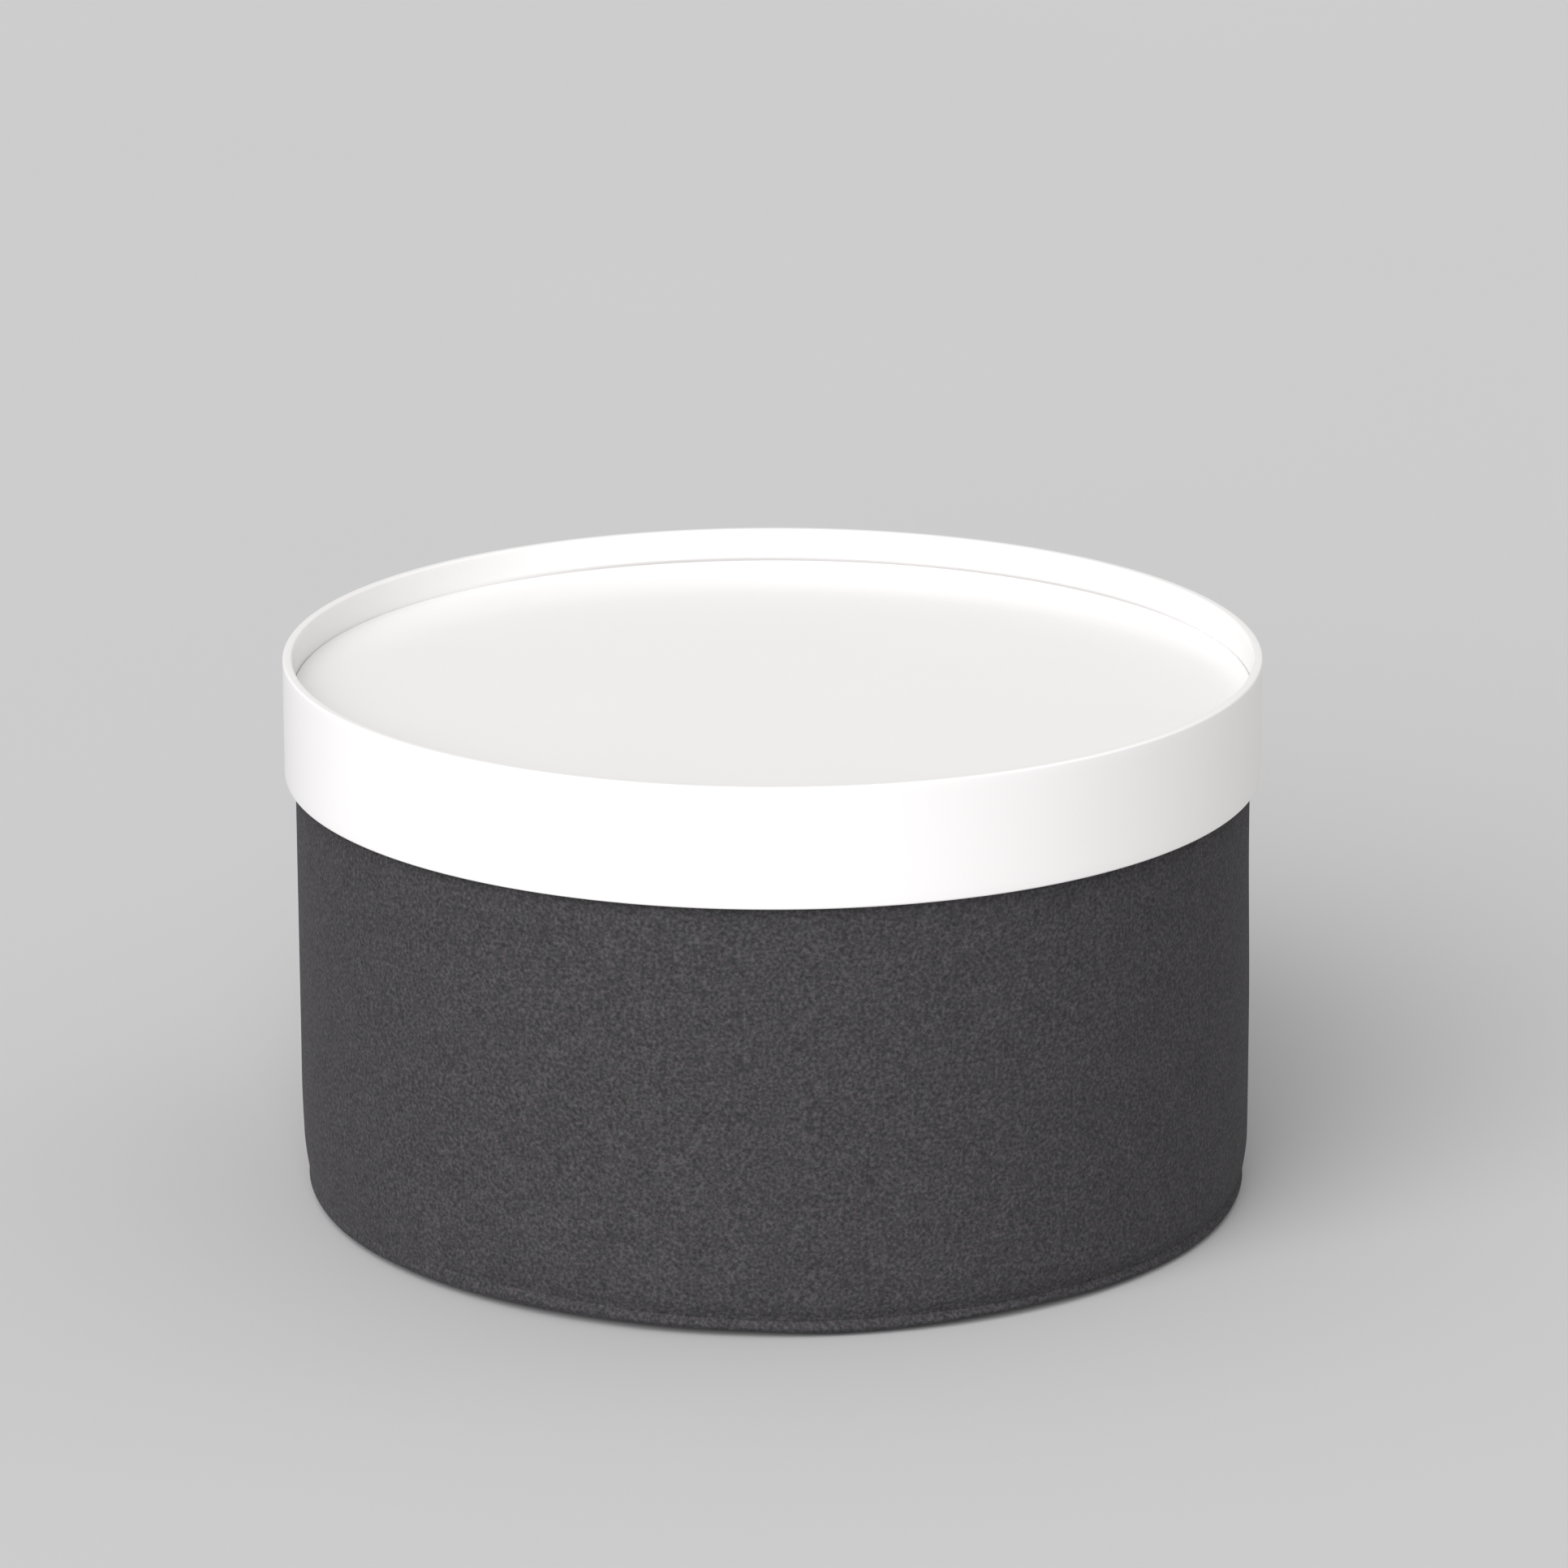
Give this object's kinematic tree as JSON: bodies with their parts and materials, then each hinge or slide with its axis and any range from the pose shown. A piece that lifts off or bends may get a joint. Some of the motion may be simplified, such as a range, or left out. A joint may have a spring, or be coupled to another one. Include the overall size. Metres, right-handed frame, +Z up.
{
  "type": "hat box",
  "caption": "Round felt-covered storage drum with a lift-off lacquered tray lid, its hoop coming down over the rim.",
  "frame": {"origin": "on the floor at the centre of the drum, under its glides", "axes": "+Z up along the drum's axis; the drum is round, so +X and +Y are any two horizontal directions, with a glide on +X"},
  "size_m": [0.6, 0.6, 0.34],
  "materials": {
    "tray_lacquer": "satin",
    "bare_wood": "matte",
    "fastener_steel": "satin",
    "pad_silicone": "satin",
    "foam": "matte",
    "cover_felt": "matte",
    "tape": "matte",
    "lining_cloth": "matte",
    "glide_plastic": "matte"
  },
  "bodies": {
    "drum": {"wall_shell": "bare_wood", "top_hoop": "bare_wood", "base_board": "bare_wood", "base_screws": "fastener_steel", "foam_wrap": "foam", "felt_sleeve": "cover_felt", "felt_base_panel": "cover_felt", "cover_staples": "fastener_steel", "rim_tape": "tape", "lining_wall": "lining_cloth", "lining_base": "lining_cloth", "glides": "glide_plastic", "glide_screws": "fastener_steel"},
    "lid": {"tray_hoop": "tray_lacquer", "tray_panel": "tray_lacquer", "bearer_ring": "bare_wood", "bearer_screws": "fastener_steel", "bearer_pins": "fastener_steel", "lid_pads": "pad_silicone"}
  },
  "joints": [
    {"name": "lid_lift", "type": "slide", "parent": "drum", "child": "lid", "axis": [0, 0, 1], "range_m": [0, 0.2]}
  ]
}
